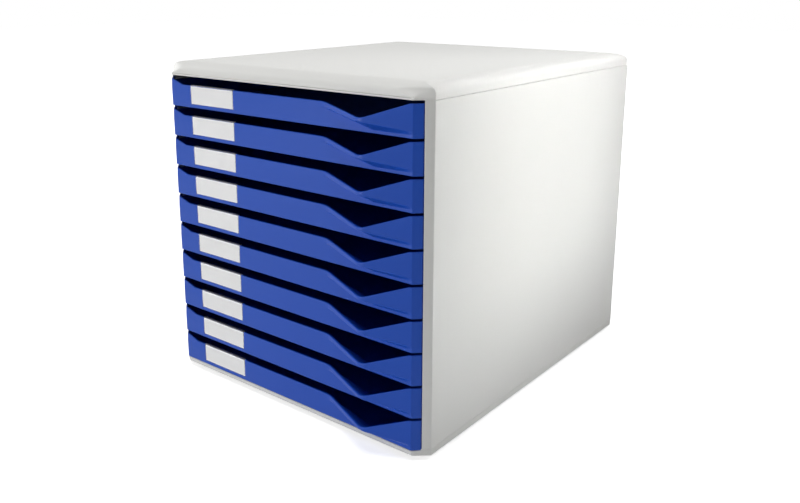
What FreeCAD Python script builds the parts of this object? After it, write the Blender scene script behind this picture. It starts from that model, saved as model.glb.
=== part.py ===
import FreeCAD, Part
import Sketcher
import math
import os
import re

# Desktop drawer organizer: a light case with ten shallow drawers.
# X runs across the front, Y runs from the front to the back and Z up.
# The origin is on the table, under the middle of the whole object.

# Driving sizes in millimetres, and counts
SIZES = (
    # Case
    ("case_width", 291.0),
    ("case_depth", 337.0),
    ("corner_cut", 11.3),
    ("wall", 3.0),
    ("flange_width", 5.6),
    ("flange_depth", 20.0),
    ("rear_wall", 2.5),
    ("rear_lip", 2.0),
    ("groove", 1.2),
    # Base
    ("base_height", 6.0),
    ("base_floor", 3.0),
    ("lip_drop", 1.0),
    ("lip_depth", 4.0),
    # Cover
    ("cover_height", 11.7),
    ("cover_rim", 8.0),
    ("cover_roof", 3.0),
    ("edge_lip", 3.6),
    ("edge_side", 14.0),
    ("edge_front", 18.0),
    ("edge_crest", 1.5),
    ("edge_fullness", 1.4),
    ("edge_corner", 1.0),
    # Locating ribs of the base and the cover, inside the walls
    ("rib_height", 3.0),
    ("rib_width", 1.6),
    ("fit_gap", 0.2),
    # Feet
    ("foot_height", 4.0),
    ("foot_radius", 7.0),
    ("foot_seat", 1.0),
    ("foot_inset", 24.0),
    # Drawer places
    ("drawer_count", 10),
    ("slot_pitch", 27.0),
    ("ledge_reach", 9.0),
    ("ledge_thickness", 2.0),
    ("slide_gap", 0.3),
    # Drawer front; its places along X are distances from its two front corners
    ("front_gap", 2.2),
    ("front_side_gap", 0.4),
    ("front_wall", 2.2),
    ("middle_drop", 5.7),
    ("horn_foot", 14.5),
    ("horn_head", 3.0),
    ("horn_radius", 8.0),
    # Finger grip of the drawer front
    ("grip_reach", 15.0),
    ("grip_start", 83.7),
    ("grip_peak", 37.8),
    ("grip_radius", 12.0),
    ("notch_start", 86.2),
    ("notch_place", 36.7),
    ("notch_drop", 6.4),
    ("notch_radius", 20.0),
    ("brow_radius", 40.0),
    ("ramp_head", 2.0),
    ("ramp_radius", 3.0),
    ("band_start", 3.4),
    ("band_peak", 2.0),
    ("band_end", 20.0),
    ("hem_height", 2.9),
    # Drawer tray
    ("tray_gap", 1.3),
    ("tray_lift", 1.0),
    ("tray_headroom", 5.0),
    ("tray_wall", 1.8),
    ("stop_setback", 70.0),
    ("stop_length", 6.0),
    ("stop_height", 10.0),
    ("stop_lift", 5.0),
    ("stop_gap", 0.6),
    # Label and its clear clip
    ("label_start", 25.7),
    ("label_width", 55.0),
    ("label_foot", 3.0),
    ("clip_window", 0.9),
    ("clip_top", 0.8),
    ("clip_back", 1.0),
    ("clip_hook", 5.0),
    ("clip_gap", 0.1),
    ("card_thickness", 0.4),
    ("card_margin", 0.3),
)

# Places that several sub-parts share, worked out from the sizes
PLACES = (
    ("half_width", "case_width / 2"),
    ("front", "(grip_reach - case_depth) / 2"),
    ("rear", "(grip_reach + case_depth) / 2"),
    ("base_top", "foot_height + base_height"),
    ("slot_foot", "base_top - tray_lift + slide_gap"),
    ("cover_foot", "slot_foot + drawer_count * slot_pitch"),
    ("case_top", "cover_foot + cover_height"),
    ("flange_face", "half_width - flange_width"),
    ("flange_rear", "front + flange_depth"),
    ("wall_face", "half_width - wall"),
    ("panel_face", "rear - rear_lip - rear_wall - fit_gap"),
    ("front_end", "flange_face - front_side_gap"),
    ("front_corner", "half_width - corner_cut"),
    ("front_height", "slot_pitch - front_gap"),
    ("front_middle", "front_height - middle_drop"),
    ("notch_floor", "front_middle - notch_drop"),
    ("tray_side", "flange_face - tray_gap"),
    ("tray_top", "slot_pitch - tray_headroom"),
    ("tray_rear", "panel_face - slide_gap"),
    ("stop_face", "tray_rear - stop_setback"),
    ("label_left", "label_start - front_corner"),
    ("label_right", "label_left + label_width"),
    ("recess_depth", "clip_window + card_thickness + clip_gap"),
)

doc = FreeCAD.newDocument("drawer_organizer")
sheet = doc.addObject("Spreadsheet::Sheet", "Sizes")
for row, (alias, value) in enumerate(SIZES, start=1):
    sheet.set(f"A{row}", alias)
    sheet.set(f"B{row}", str(value))
    sheet.setAlias(f"B{row}", alias)
doc.recompute()

OWNER = {alias: "Sizes" for alias, _ in SIZES}


def formula(text):
    """Writes out a size formula with the object that holds each of its words."""
    return re.sub(r"[a-z_]+", lambda word: f"{OWNER[word[0]]}.{word[0]}" if word[0] in OWNER else word[0],
                  text)


def bind(target, **formulas):
    """Ties properties of an object to size formulas; a double underscore stands for a dot."""
    for name, text in formulas.items():
        target.setExpression(name.replace("__", "."), formula(text))
    return target


places = doc.addObject("App::VarSet", "Places")
for name, text in PLACES:
    places.addProperty("App::PropertyFloat", name)
    bind(places, **{name: text})
    OWNER[name] = "Places"
doc.recompute()


def size(name):
    """Reads one driving size or shared place as a number."""
    return float(getattr(places if OWNER[name] == "Places" else sheet, name))


def box(label, x, y, z):
    """Makes a box from the formulas of its low and high ends along X, Y and Z."""
    block = doc.addObject("Part::Box", label)
    bind(block, Length=f"({x[1]}) - ({x[0]})", Width=f"({y[1]}) - ({y[0]})", Height=f"({z[1]}) - ({z[0]})")
    return bind(block, Placement__Base__x=x[0], Placement__Base__y=y[0], Placement__Base__z=z[0])


def joined(label, pieces):
    """Makes one solid of several that overlap or share a face."""
    union = doc.addObject("Part::MultiFuse", label)
    union.Shapes = pieces
    union.Refine = True
    return union


def without(label, base, tool):
    """Cuts one object out of another."""
    cut = doc.addObject("Part::Cut", label)
    cut.Base = base
    cut.Tool = tool
    cut.Refine = True
    return cut


def origin_feature(body, role):
    """Finds a plane or an axis of a body's own origin."""
    return next(item for item in body.Origin.OriginFeatures if item.Role == role)


def outline(body, label, corners, height="0", role="XY_Plane"):
    """Draws a closed outline of straight lines on a plane of the body, each corner tied to its formulas."""
    sketch = body.newObject("Sketcher::SketchObject", label)
    sketch.AttachmentSupport = [(origin_feature(body, role), "")]
    sketch.MapMode = "FlatFace"
    bind(sketch, AttachmentOffset__Base__z=height)
    count = len(corners)
    turns = [2.0 * math.pi * index / count for index in range(count)]
    spots = [FreeCAD.Vector(math.cos(turn), math.sin(turn), 0.0) for turn in turns]
    for index in range(count):
        sketch.addGeometry(Part.LineSegment(spots[index], spots[(index + 1) % count]), False)
    for index in range(count):
        sketch.addConstraint(Sketcher.Constraint("Coincident", index, 2, (index + 1) % count, 1))
    for index, (across, along) in enumerate(corners):
        for kind, text in (("DistanceX", across), ("DistanceY", along)):
            place = sketch.addConstraint(Sketcher.Constraint(kind, -1, 1, index, 1, 1.0))
            sketch.setExpression(f"Constraints[{place}]", formula(text))
    return sketch


def pad(body, label, sketch, height):
    """Raises a sketch into a solid of the given height."""
    feature = body.newObject("PartDesign::Pad", label)
    feature.Profile = sketch
    return bind(feature, Length=height)


def pocket(body, label, sketch, depth, upwards=False):
    """Cuts a sketch out of a body, downwards unless told otherwise."""
    feature = body.newObject("PartDesign::Pocket", label)
    feature.Profile = sketch
    feature.Reversed = upwards
    return bind(feature, Length=depth)


def rectangle(x_low, x_high, y_low, y_high):
    """Lists the corners of a rectangle."""
    return [(x_low, y_low), (x_high, y_low), (x_high, y_high), (x_low, y_high)]


def case_corners(inset="0"):
    """Lists the corners of the case seen from above, with its two cut front corners."""
    side = f"half_width - ({inset})"
    return [
        (f"-({side})", f"rear - ({inset})"),
        (side, f"rear - ({inset})"),
        (side, "front + corner_cut"),
        (f"front_corner - ({inset}) / 2", f"front + ({inset}) / 2"),
        (f"-(front_corner - ({inset}) / 2)", f"front + ({inset}) / 2"),
        (f"-({side})", "front + corner_cut"),
    ]


def rounded_face(points):
    """Makes a flat face from corners (x, z, radius), each corner rounded by a tangent arc."""
    edges = []
    count = len(points)
    ends = []
    for index, (x, z, radius) in enumerate(points):
        corner = FreeCAD.Vector(x, 0.0, z)
        before = FreeCAD.Vector(points[index - 1][0], 0.0, points[index - 1][1]) - corner
        after = FreeCAD.Vector(points[(index + 1) % count][0], 0.0, points[(index + 1) % count][1]) - corner
        before.normalize()
        after.normalize()
        if radius == 0.0:
            ends.append((corner, corner))
            continue
        half = before.getAngle(after) / 2.0
        reach = radius / math.tan(half)
        bisector = (before + after).normalize()
        middle = corner + bisector * (radius / math.sin(half) - radius)
        start = corner + before * reach
        stop = corner + after * reach
        ends.append((start, stop))
        edges.append(Part.Arc(start, middle, stop).toShape())
    for index in range(count):
        edges.append(Part.LineSegment(ends[index][1], ends[(index + 1) % count][0]).toShape())
    return Part.Face(Part.Wire(Part.__sortEdges__(edges)))


def feature_from(label, shape):
    """Puts a shape made in code into the document."""
    feature = doc.addObject("Part::Feature", label)
    feature.Shape = shape
    return feature


# Feet: four rubber discs that sit in shallow seats of the base
def make_feet():
    discs = []
    for side, x in (("left", "foot_inset - half_width"), ("right", "half_width - foot_inset")):
        for end, y in (("front", "front + foot_inset"), ("rear", "rear - foot_inset")):
            disc = doc.addObject("Part::Cylinder", f"foot_{end}_{side}")
            bind(disc, Radius="foot_radius", Height="foot_height + foot_seat")
            bind(disc, Placement__Base__x=x, Placement__Base__y=y)
            discs.append(disc)
    group = doc.addObject("Part::Compound", "rubber_feet")
    group.Links = discs
    return group


def locating_ribs(label, low, high):
    """Makes the two ribs that stand just inside the side walls."""
    far = "wall_face - fit_gap"
    near = "wall_face - fit_gap - rib_width"
    length = ("flange_rear + fit_gap", "panel_face - fit_gap")
    right = box(f"{label}_right", (near, far), length, (low, high))
    left = box(f"{label}_left", (f"-({far})", f"-({near})"), length, (low, high))
    return [right, left]


# Base: a shallow tray with a low lip under the lowest drawer front
def make_base(feet):
    body = doc.addObject("PartDesign::Body", "base_body")
    plate = outline(body, "base_outline", case_corners(), "foot_height")
    pad(body, "base_plate", plate, "base_height")
    hollow = outline(body, "base_hollow", case_corners("wall + ledge_reach"), "base_top")
    pocket(body, "base_inside", hollow, "base_height - base_floor")
    lip = outline(body, "lip_outline", rectangle("-flange_face", "flange_face", "front - lip_depth",
                                                 "front + corner_cut"), "base_top")
    pocket(body, "lip_step", lip, "lip_drop")
    ribs = locating_ribs("base_rib", "base_top", "base_top + rib_height")
    return without("base_tray", joined("base_with_ribs", [body] + ribs), feet)


# Side walls: each has a cut front flange, drawer ledges and a groove for the rear panel
def make_side_walls():
    body = doc.addObject("PartDesign::Body", "right_side_wall")
    plan = outline(body, "wall_plan", [
        ("half_width", "front + corner_cut"),
        ("half_width", "rear"),
        ("wall_face", "rear"),
        ("wall_face", "rear - rear_lip"),
        ("wall_face + groove", "rear - rear_lip"),
        ("wall_face + groove", "panel_face"),
        ("wall_face", "panel_face"),
        ("wall_face", "flange_rear"),
        ("flange_face", "flange_rear"),
        ("flange_face", "front + corner_cut - flange_width"),
    ], "base_top")
    pad(body, "wall_pad", plan, "cover_foot - base_top")
    foot = "slot_foot + slot_pitch + tray_lift - slide_gap"
    profile = outline(body, "ledge_profile", rectangle("wall_face - ledge_reach", "wall_face + groove / 2",
                                                       f"{foot} - ledge_thickness", foot),
                      "-panel_face", "XZ_Plane")
    ledge = pad(body, "ledge", profile, "panel_face - flange_rear")
    rows = body.newObject("PartDesign::LinearPattern", "ledges")
    rows.Originals = [ledge]
    rows.Direction = (origin_feature(body, "Z_Axis"), [""])
    bind(rows, Length="slot_pitch * (drawer_count - 2)", Occurrences="drawer_count - 1")
    body.Tip = rows
    mirror = doc.addObject("Part::Mirroring", "left_side_wall")
    mirror.Source = body
    mirror.Normal = FreeCAD.Vector(1.0, 0.0, 0.0)
    return [body, mirror]


# Rear panel: a plain sheet held in the grooves of the side walls
def make_rear_panel():
    edge = "wall_face + groove - fit_gap"
    return box("rear_panel", (f"-({edge})", edge), ("panel_face + fit_gap", "rear - rear_lip"),
               ("base_top", "cover_foot"))


# Cover: a flat lid whose top edges fall away in a wide soft curve
def cover_section(place):
    """Draws one level of the cover, from its upright lip (place 0) to its flat top (place 1).

    The edge is a conic that leaves the lip upright and meets the flat top at a slight crease. The cut
    front corners are upright planes, so they shrink as the edge falls back behind them.
    """
    shoulder = size("cover_foot") + size("edge_lip")
    height = size("case_top") - shoulder
    pull = 2.0 * size("edge_fullness") * place * (1.0 - place)
    total = (1.0 - place) ** 2 + pull + place ** 2
    share = place ** 2 / total
    level = shoulder + (pull * (height - size("edge_crest")) + place ** 2 * height) / total
    side = size("half_width") - size("edge_side") * share
    front = size("front") + size("edge_front") * share
    rear = size("rear") - size("edge_side") * share
    cut = max(size("corner_cut") - (size("edge_side") + size("edge_front")) * share, size("edge_corner"))
    corners = [(-side, rear), (side, rear), (side, front + cut), (side - cut, front),
               (cut - side, front), (-side, front + cut)]
    return Part.makePolygon([FreeCAD.Vector(x, y, level) for x, y in corners + corners[:1]])


def make_cover():
    steps = 8
    dome = Part.makeLoft([cover_section(step / steps) for step in range(steps + 1)], True, True)
    body = doc.addObject("PartDesign::Body", "cover_skirt")
    pad(body, "skirt", outline(body, "skirt_outline", case_corners(), "cover_foot"), "edge_lip")
    shell = joined("cover_shell", [feature_from("cover_dome", dome), body])
    side = "half_width - cover_rim"
    inside = box("cover_inside", (f"-({side})", side), ("front + cover_rim", "rear - cover_rim"),
                 ("cover_foot - cover_rim", "case_top - cover_roof"))
    ribs = locating_ribs("cover_rib", "cover_foot - rib_height", "cover_foot")
    return joined("top_cover", [without("cover_lid", shell, inside)] + ribs)


def tip_angle(x, way):
    """Finds the angle on the grip's round tip whose tangent meets the flat front at x, on one side."""
    depth = size("grip_reach") - size("grip_radius")
    span = math.hypot(x, depth)
    return math.atan2(-depth, way * x) + math.acos(size("grip_radius") / span)


def grip_plan(corner, steps=4):
    """Lists points (x, outward reach) of the grip seen from above, from its start to the front's corner."""
    radius = size("grip_radius")
    peak = corner - size("grip_peak")
    start = corner - size("grip_start")
    first = math.pi - tip_angle(start - peak, -1.0)
    last = tip_angle(corner - peak, 1.0)
    turns = [first + (last - first) * step / steps for step in range(steps + 1)]
    tip = [(peak + radius * math.cos(turn), size("grip_reach") - radius + radius * math.sin(turn))
           for turn in turns]
    near, out = tip[0]
    flank = [(start + (near - start) * step / steps, out * step / steps) for step in range(steps)]
    return flank + tip


def crease(x, corner):
    """Gives the height of the crease under the grip's upright band at a place along the front."""
    peak = corner - size("grip_peak")
    low = size("notch_floor") - size("band_peak")
    if x > peak:
        return low + (size("front_height") - size("band_end") - low) * (x - peak) / (corner - peak)
    high = size("front_middle") - size("band_start")
    start = corner - size("grip_start")
    return low + (high - low) * ((peak - x) / (peak - start)) ** 1.5


def front_section(x, out, height, wall):
    """Draws the drawer front's wall in section at x: it leans out by a reach up to the crease's height."""
    front = size("front")
    top = size("front_height")
    hem = size("hem_height")
    foot = max(0.0, -out)
    lip = min(0.0, -out) + foot
    shift = wall * math.tan(math.atan2(foot - lip, height - hem) / 2.0)
    face = [(foot, 0.0), (foot, hem), (lip, height), (lip, top)]
    back = [(lip + wall, top), (lip + wall, height + shift), (foot + wall, hem + shift), (foot + wall, 0.0)]
    corners = face + back
    return Part.makePolygon([FreeCAD.Vector(x, front + y, z) for y, z in corners + corners[:1]])


def bent_wall():
    """Makes the drawer front's wall at full height, with its cut ends and its grip."""
    corner = size("front_corner")
    end = size("front_end")
    wall = size("front_wall")
    slant = wall * math.sqrt(2.0)
    high = crease(corner - size("grip_start"), corner)
    low = crease(corner, corner)
    sections = [front_section(-end, corner - end, high, slant), front_section(-corner, 0.0, high, wall)]
    sections += [front_section(x, out, crease(x, corner), wall) for x, out in grip_plan(corner)]
    sections += [front_section(corner, 0.0, low, wall), front_section(end, corner - end, low, slant)]
    return Part.makeLoft(sections, True, True)


# Drawer front: one bent wall with raised ends, a lowered middle and the finger grip
def make_front():
    top = size("front_height")
    middle = size("front_middle")
    corner = size("front_corner")
    beyond = size("half_width")
    edge = rounded_face([
        (-beyond, top, 0.0),
        (-corner - size("horn_head"), top, 0.0),
        (size("horn_foot") - corner, middle, size("horn_radius")),
        (corner - size("notch_start"), middle, size("brow_radius")),
        (corner - size("notch_place"), size("notch_floor"), size("notch_radius")),
        (corner - size("ramp_head"), top, size("ramp_radius")),
        (beyond, top, 0.0),
        (beyond, 2.0 * top, 0.0),
        (-beyond, 2.0 * top, 0.0),
    ])
    edge.translate(FreeCAD.Vector(0.0, size("front") - size("grip_reach"), 0.0))
    depth = size("grip_reach") + size("flange_depth")
    above = feature_from("front_above", edge.extrude(FreeCAD.Vector(0.0, depth, 0.0)))
    window = box("label_recess", ("label_left", "label_right"),
                 ("front - recess_depth", "front + recess_depth"), ("label_foot", "front_height"))
    wall = feature_from("front_bent", bent_wall())
    return without("drawer_front", wall, joined("front_cuts", [above, window]))


# Drawer tray: a flat box with two stop tabs that meet the flanges when it is pulled out
def make_tray():
    body = doc.addObject("PartDesign::Body", "tray_body")
    middle = "front + front_wall / 2"
    corners = [("-tray_side", "tray_rear"), ("tray_side", "tray_rear"),
               ("tray_side", f"{middle} + tray_side - front_corner"), ("front_corner", middle),
               ("-front_corner", middle), ("-tray_side", f"{middle} + tray_side - front_corner")]
    pad(body, "tray_block", outline(body, "tray_outline", corners, "tray_lift"), "tray_top - tray_lift")
    inside = rectangle("tray_wall - tray_side", "tray_side - tray_wall", "front - grip_reach",
                       "tray_rear - tray_wall")
    hollow = outline(body, "tray_hollow", inside, "tray_lift + tray_wall")
    pocket(body, "tray_inside", hollow, "tray_top", upwards=True)
    near = "tray_side - tray_wall / 2"
    far = "wall_face - stop_gap"
    length = ("stop_face", "stop_face + stop_length")
    height = ("tray_lift + stop_lift", "tray_lift + stop_lift + stop_height")
    right = box("stop_right", (near, far), length, height)
    left = box("stop_left", (f"-({far})", f"-({near})"), length, height)
    return [body, left, right]


# Label: a white card behind a clear clip that hooks over the front's top edge
def make_clip():
    x = ("label_left + clip_gap", "label_right - clip_gap")
    back = ("front + front_wall", "front + front_wall + clip_back")
    top = "front_middle + clip_top"
    face = box("clip_face", x, ("front", "front + clip_window"), ("label_foot + clip_gap", top))
    ledge = box("clip_ledge", x, ("front", back[1]), ("front_middle", top))
    tail = box("clip_tail", x, back, ("front_middle - clip_hook", top))
    return joined("clip_form", [face, ledge, tail])


def make_card():
    return box("card_form", ("label_left + card_margin", "label_right - card_margin"),
               ("front + clip_window", "front + clip_window + card_thickness"),
               ("label_foot + card_margin", "front_middle - card_margin"))


def place_in_slot(label, form, row):
    """Puts a copy of a form into a drawer's slot, counted from the lowest."""
    copy = doc.addObject("Part::Compound", label)
    copy.Links = [form]
    return bind(copy, Placement__Base__z=f"slot_foot + {row} * slot_pitch")


feet = make_feet()
nodes = [feet, make_base(feet), make_rear_panel(), make_cover()] + make_side_walls()
forms = {
    "drawer": joined("drawer_form", [make_front()] + make_tray()),
    "label_clip": make_clip(),
    "label_card": make_card(),
}
drawer_count = int(size("drawer_count"))
for number in range(1, drawer_count + 1):
    for kind, form in forms.items():
        nodes.append(place_in_slot(f"{kind}_{number:02d}", form, drawer_count - number))
doc.recompute()

for item in doc.Objects:
    if "Invalid" in item.State or "Error" in item.State:
        raise RuntimeError(f"{item.Label} failed: {item.State}")
for node in nodes:
    if node.Shape.isNull() or not node.Shape.isValid():
        raise RuntimeError(f"{node.Label} has no valid shape")

os.makedirs("parts", exist_ok=True)
for node in nodes:
    node.Shape.exportStep(f"parts/{node.Label}.step")
    bounds = node.Shape.BoundBox
    print(f"{node.Label}: {len(node.Shape.Solids)} solid(s), {node.Shape.Volume / 1000.0:.1f} cm3, "
          f"x {bounds.XMin:.1f} to {bounds.XMax:.1f}, y {bounds.YMin:.1f} to {bounds.YMax:.1f}, "
          f"z {bounds.ZMin:.1f} to {bounds.ZMax:.1f}")
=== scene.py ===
import logging
import math
from dataclasses import dataclass, field
from enum import Enum

import bpy
import numpy as np
from mathutils import Matrix, Vector


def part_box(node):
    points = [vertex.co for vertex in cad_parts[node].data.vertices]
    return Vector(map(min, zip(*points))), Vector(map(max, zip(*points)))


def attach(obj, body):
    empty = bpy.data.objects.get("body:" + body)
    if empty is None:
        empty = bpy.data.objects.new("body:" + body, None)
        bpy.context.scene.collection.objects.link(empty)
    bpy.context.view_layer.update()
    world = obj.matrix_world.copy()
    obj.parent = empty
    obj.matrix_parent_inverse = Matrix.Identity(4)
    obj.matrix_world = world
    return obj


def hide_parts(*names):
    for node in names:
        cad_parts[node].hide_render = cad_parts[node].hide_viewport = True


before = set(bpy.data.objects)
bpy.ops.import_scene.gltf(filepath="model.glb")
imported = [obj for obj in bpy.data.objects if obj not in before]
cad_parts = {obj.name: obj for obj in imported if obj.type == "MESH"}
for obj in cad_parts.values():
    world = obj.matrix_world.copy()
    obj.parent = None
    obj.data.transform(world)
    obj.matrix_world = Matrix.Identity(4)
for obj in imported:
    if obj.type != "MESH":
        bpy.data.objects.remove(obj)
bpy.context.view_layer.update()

# The looks of a desktop drawer organizer: a light case of moulded polystyrene with ten blue drawers.
# Sizes are in millimetres in the frame of the CAD model and turned to metres when a mesh is made.
# X runs across the front, Y from the front to the back and Z up.

METRE = 0.001
DRAWER_COUNT = 10
IMAGE_WIDTH = 800
CORNER_STEPS = 4
SHARP_EDGE = math.radians(34.0)
SMALLEST_REACH = 0.02
LARGEST_SHARE = 0.46

log = logging.getLogger("drawer_organizer")


class Axis(Enum):
    """The direction along which an outline is carried, as the order that turns its points into X, Y, Z."""

    X = (2, 0, 1)
    Z = (0, 1, 2)


class Slot(Enum):
    """The record's material slots."""

    CASE = "case_plastic"
    DRAWER = "drawer_plastic"
    CARD = "card_paper"
    CLIP = "clear_plastic"
    FOOT = "foot_rubber"


def to_linear(colour: str) -> tuple[float, float, float, float]:
    """Turns an sRGB hex colour into the linear colour of a shader.

    Args:
        colour: six hex digits after a hash sign.

    Returns:
        Red, green, blue and an alpha of one.
    """
    channels = np.array([int(colour[place:place + 2], 16) for place in (1, 3, 5)]) / 255.0
    linear = np.where(channels <= 0.04045, channels / 12.92, ((channels + 0.055) / 1.055) ** 2.4)
    return (*linear.tolist(), 1.0)


def add_node(tree: bpy.types.NodeTree, kind: str, inputs: dict | None = None, **settings: object) -> bpy.types.Node:
    """Adds one shader node.

    Args:
        tree: the node tree that gets it.
        kind: the node's type name, without the word ShaderNode.
        inputs: a value, or an output socket to link, for each input by its name or number.
        settings: the node's own properties.

    Returns:
        The new node.
    """
    node = tree.nodes.new("ShaderNode" + kind)
    for name, value in settings.items():
        setattr(node, name, value)
    for name, value in (inputs or {}).items():
        if isinstance(value, bpy.types.NodeSocket):
            tree.links.new(value, node.inputs[name])
        else:
            node.inputs[name].default_value = value
    return node


def new_material(name: str) -> tuple[bpy.types.Material, bpy.types.NodeTree]:
    """Makes an empty node material.

    Args:
        name: what the finish is.

    Returns:
        The material and its cleared node tree.
    """
    material = bpy.data.materials.new(name)
    material.use_nodes = True
    material.node_tree.nodes.clear()
    return material, material.node_tree


# Finishes


@dataclass(frozen=True)
class MouldedPlastic:
    """Injection moulded plastic: one colour all through, with a fine spark-eroded grain.

    The grain breaks up the lamps' reflections, so that the faces look satin. Slow flow marks of the melt
    shift the tone by a hair over the large faces.
    """

    name: str
    colour: str
    flow_colour: str
    roughness: float
    roughness_spread: float = 0.06
    grain: float = 1.1
    grain_depth: float = 0.012
    flow: float = 90.0
    specular: float = 0.5

    def material(self) -> bpy.types.Material:
        """Builds the finish: flow marks drive the colour, the grain drives roughness and bump."""
        material, tree = new_material(self.name)
        place = add_node(tree, "TexCoord").outputs["Object"]
        flow = add_node(tree, "TexNoise", {"Vector": place, "Scale": 1.0 / (self.flow * METRE), "Detail": 3.0,
                                           "Roughness": 0.45, "Distortion": 0.6})
        tone = add_node(tree, "Mix", {"Factor": flow.outputs["Fac"], "A": to_linear(self.colour),
                                      "B": to_linear(self.flow_colour)}, data_type="RGBA")
        grain = add_node(tree, "TexNoise", {"Vector": place, "Scale": 1.0 / (self.grain * METRE),
                                            "Detail": 2.0, "Roughness": 0.55})
        gloss = add_node(tree, "MapRange", {"Value": grain.outputs["Fac"],
                                            "To Min": self.roughness - self.roughness_spread,
                                            "To Max": self.roughness + self.roughness_spread})
        bump = add_node(tree, "Bump", {"Height": grain.outputs["Fac"], "Strength": 1.0,
                                       "Distance": self.grain_depth * METRE})
        shader = add_node(tree, "BsdfPrincipled", {"Base Color": tone.outputs["Result"],
                                                   "Roughness": gloss.outputs["Result"],
                                                   "IOR": 1.59, "Specular IOR Level": self.specular,
                                                   "Normal": bump.outputs["Normal"]})
        add_node(tree, "OutputMaterial", {"Surface": shader.outputs["BSDF"]})
        return material


@dataclass(frozen=True)
class Cardstock:
    """Uncoated white card: matt, with the faint cloudiness and short fibres of pressed pulp."""

    name: str
    colour: str
    cloud_colour: str
    fibre: float = 0.8
    fibre_depth: float = 0.02

    def material(self) -> bpy.types.Material:
        """Builds the finish: clouds drive the colour and stretched fibres the bump."""
        material, tree = new_material(self.name)
        place = add_node(tree, "TexCoord").outputs["Object"]
        cloud = add_node(tree, "TexNoise", {"Vector": place, "Scale": 1.0 / (6.0 * METRE), "Detail": 4.0})
        tone = add_node(tree, "Mix", {"Factor": cloud.outputs["Fac"], "A": to_linear(self.colour),
                                      "B": to_linear(self.cloud_colour)}, data_type="RGBA")
        stretched = add_node(tree, "Mapping", {"Vector": place, "Scale": (0.35, 1.0, 1.0)})
        fibre = add_node(tree, "TexNoise", {"Vector": stretched.outputs["Vector"],
                                            "Scale": 1.0 / (self.fibre * METRE), "Detail": 3.0})
        bump = add_node(tree, "Bump", {"Height": fibre.outputs["Fac"], "Strength": 0.6,
                                       "Distance": self.fibre_depth * METRE})
        shader = add_node(tree, "BsdfPrincipled", {"Base Color": tone.outputs["Result"], "Roughness": 0.82,
                                                   "Specular IOR Level": 0.3,
                                                   "Normal": bump.outputs["Normal"]})
        add_node(tree, "OutputMaterial", {"Surface": shader.outputs["BSDF"]})
        return material


@dataclass(frozen=True)
class ClearPlastic:
    """Clear polystyrene: a thin glossy window that lets nearly all light through.

    Its wide face shows only a soft reflection. The mould leaves its level edges matt, so they let less light through;
    their darker grey tone is painted shade, for the light that the drawer above keeps off them.
    """

    name: str
    colour: str
    # Painted shade: the darker grey that the faces facing up or down are given.
    edge_shade_colour: str
    roughness: float = 0.06
    edge_haze: float = 0.42

    def material(self) -> bpy.types.Material:
        """Builds the finish: clear, with slow waves in its gloss, painted shade in grey on its level faces, and lamps
        shine through to the card.
        """
        material, tree = new_material(self.name)
        place = add_node(tree, "TexCoord").outputs["Object"]
        wave = add_node(tree, "TexNoise", {"Vector": place, "Scale": 1.0 / (14.0 * METRE), "Detail": 2.0})
        gloss = add_node(tree, "MapRange", {"Value": wave.outputs["Fac"], "To Min": self.roughness * 0.6,
                                            "To Max": self.roughness * 1.6})
        bump = add_node(tree, "Bump", {"Height": wave.outputs["Fac"], "Strength": 0.4,
                                       "Distance": 0.03 * METRE})
        upward = add_node(tree, "SeparateXYZ", {0: add_node(tree, "TexCoord").outputs["Normal"]}).outputs["Z"]
        level = add_node(tree, "Math", {0: upward}, operation="ABSOLUTE").outputs[0]
        matt = add_node(tree, "MapRange", {"Value": level, "From Min": 0.15, "From Max": 0.6}).outputs["Result"]
        clearness = add_node(tree, "MapRange", {"Value": matt, "To Min": 1.0, "To Max": 1.0 - self.edge_haze})
        # Painted shade: the same mask that makes the faces facing up or down hazy also tints them from clear white to
        # a darker grey.
        tone = add_node(tree, "Mix", {"Factor": matt, "A": to_linear(self.colour),
                                      "B": to_linear(self.edge_shade_colour)}, data_type="RGBA")
        shader = add_node(tree, "BsdfPrincipled", {"Base Color": tone.outputs["Result"], "IOR": 1.59,
                                                   "Transmission Weight": clearness.outputs["Result"],
                                                   "Roughness": gloss.outputs["Result"],
                                                   "Normal": bump.outputs["Normal"]})
        clear = add_node(tree, "BsdfTransparent", {"Color": to_linear(self.colour)})
        lit = add_node(tree, "MixShader", {0: add_node(tree, "LightPath").outputs["Is Shadow Ray"],
                                           1: shader.outputs["BSDF"], 2: clear.outputs["BSDF"]})
        add_node(tree, "OutputMaterial", {"Surface": lit.outputs[0]})
        return material


@dataclass(frozen=True)
class MouldedRubber:
    """Moulded rubber: dull and dark, with the fine speckle of its filler."""

    name: str
    colour: str
    speck_colour: str
    speck: float = 0.7

    def material(self) -> bpy.types.Material:
        """Builds the finish: specks drive the colour and the bump."""
        material, tree = new_material(self.name)
        place = add_node(tree, "TexCoord").outputs["Object"]
        speck = add_node(tree, "TexNoise", {"Vector": place, "Scale": 1.0 / (self.speck * METRE),
                                            "Detail": 3.0, "Roughness": 0.6})
        tone = add_node(tree, "Mix", {"Factor": speck.outputs["Fac"], "A": to_linear(self.colour),
                                      "B": to_linear(self.speck_colour)}, data_type="RGBA")
        bump = add_node(tree, "Bump", {"Height": speck.outputs["Fac"], "Strength": 0.8,
                                       "Distance": 0.05 * METRE})
        shader = add_node(tree, "BsdfPrincipled", {"Base Color": tone.outputs["Result"], "Roughness": 0.78,
                                                   "Normal": bump.outputs["Normal"]})
        add_node(tree, "OutputMaterial", {"Surface": shader.outputs["BSDF"]})
        return material


# Surfaces


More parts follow.
